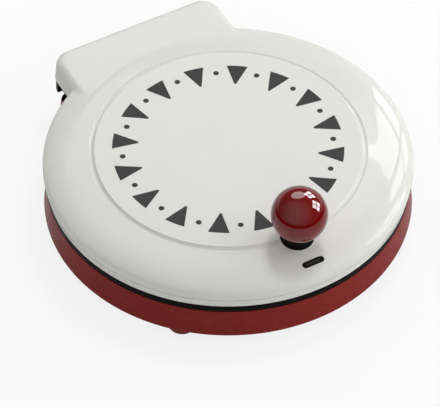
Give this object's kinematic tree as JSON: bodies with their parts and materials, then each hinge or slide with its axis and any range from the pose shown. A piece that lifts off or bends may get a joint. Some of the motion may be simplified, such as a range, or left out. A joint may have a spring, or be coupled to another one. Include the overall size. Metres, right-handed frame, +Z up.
{
  "type": "electric pizza maker",
  "caption": "Round countertop pizza cooker with a hinged domed lid, ball knob, indicator window and heated plates in lid and base.",
  "frame": {"origin": "centre of the footprint on the table, under the feet", "axes": "+Z up, -Y towards the knob at the front, +Y towards the hinge, +X to the right seen from the front"},
  "size_m": [0.3304, 0.3489, 0.1345],
  "materials": {
    "red_plastic": "glossy dark red moulded plastic",
    "white_plastic": "glossy off-white moulded plastic",
    "black_plastic": "satin black moulded plastic",
    "rubber": "matte black rubber",
    "coated_plate": "dark non-stick coating on a cast plate",
    "sheath": "dull grey heater sheath",
    "sheet": "bright rolled sheet",
    "screw_steel": "zinc-plated steel",
    "ceramic": "cream ceramic and moulded insulator",
    "brass": "turned brass",
    "lens": "dark tinted clear plastic",
    "lamp": "amber neon lamp body",
    "board": "green circuit board"
  },
  "bodies": {
    "base": {"base_shell": "red_plastic", "feet": "red_plastic", "foot_pads": "rubber", "foot_screws": "screw_steel", "base_bezel": "black_plastic", "lower_plate": "coated_plate", "lower_heater": "sheath", "lower_heater_terminals": "ceramic", "lower_reflector": "sheet", "lower_reflector_screws": "screw_steel", "lower_thermostat": "black_plastic", "thermal_fuse": "ceramic", "terminal_block": "ceramic", "base_screws": "screw_steel", "cord_gland": "rubber", "hinge_brackets": "black_plastic", "hinge_screws": "screw_steel", "hinge_pin": "screw_steel"},
    "lid": {"lid_shell": "white_plastic", "lid_bezel": "black_plastic", "upper_plate": "coated_plate", "upper_heater": "sheath", "upper_heater_terminals": "ceramic", "upper_reflector": "sheet", "upper_reflector_screws": "screw_steel", "upper_thermostat": "black_plastic", "lid_screws": "screw_steel", "hinge_cover": "black_plastic", "cover_screws": "screw_steel", "knob_ball": "red_plastic", "knob_insert": "brass", "knob_collar": "black_plastic", "knob_stud": "screw_steel", "knob_washer": "screw_steel", "indicator_lens": "lens", "indicator_lamps": "lamp", "lamp_board": "board"}
  },
  "joints": [
    {"name": "lid_hinge", "type": "hinge", "parent": "base", "child": "lid", "pos_m": [0, 0.16385, 0.0425], "axis": [-1, 0, 0], "range_deg": [0, 100]}
  ]
}
